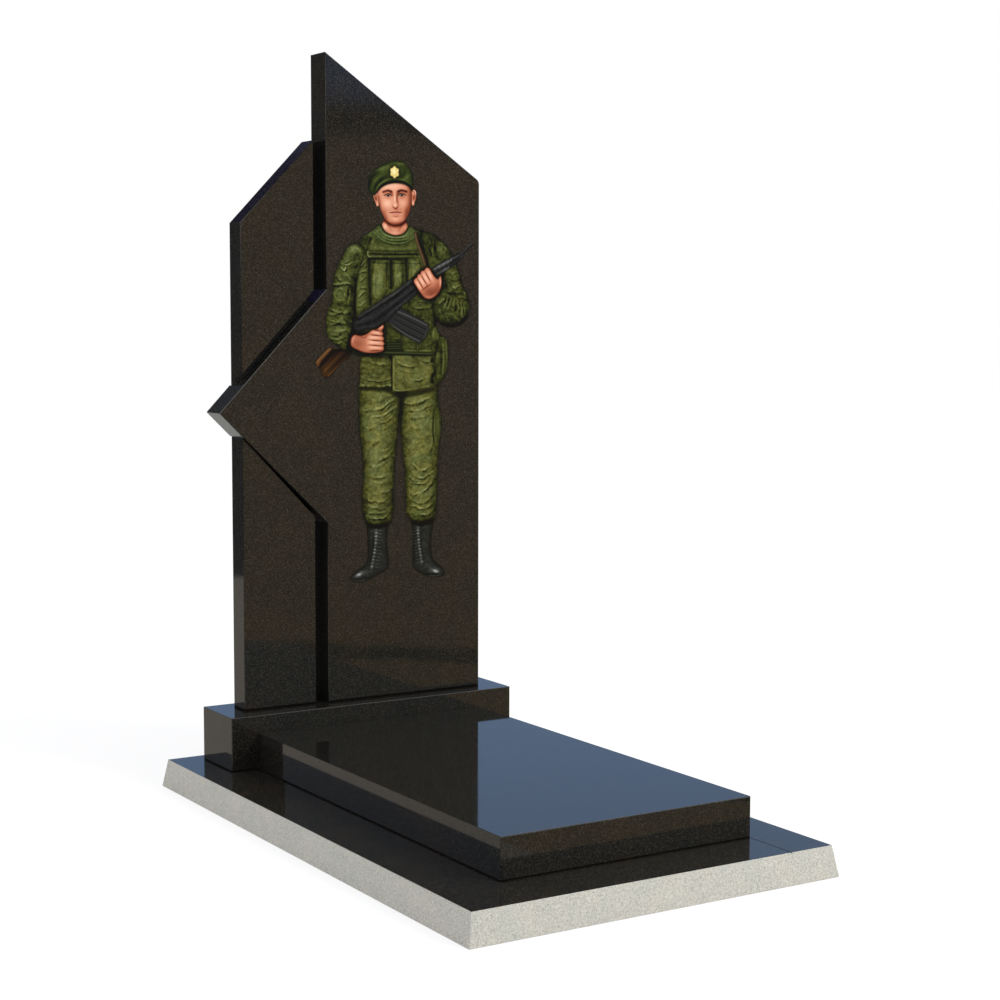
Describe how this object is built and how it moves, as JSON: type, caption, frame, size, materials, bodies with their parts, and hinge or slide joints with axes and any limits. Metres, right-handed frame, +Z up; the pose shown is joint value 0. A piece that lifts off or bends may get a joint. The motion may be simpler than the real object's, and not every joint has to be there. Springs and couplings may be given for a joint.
{
  "type": "war memorial grave monument",
  "caption": "Polished black granite grave monument: a two-stone stele with an arrow-shaped wing and a painted soldier, on a pedestal, with a grave slab and a low platform.",
  "frame": {"origin": "middle of the platform's underside, on the surface that the monument stands on", "axes": "+Z up, the front of the steles faces -Y, +X to the right for someone who looks at the front"},
  "size_m": [1.13, 1.8524, 2.2576],
  "materials": {
    "platform_granite": "polished black top, pale rough sides",
    "polished_black_granite": "mirror polished, fine brown and grey speckle"
  },
  "bodies": {
    "root": {"platform": "platform_granite", "pedestal": "polished_black_granite", "grave_slab": "polished_black_granite", "main_stele": "polished_black_granite", "side_stele": "polished_black_granite"}
  },
  "joints": []
}
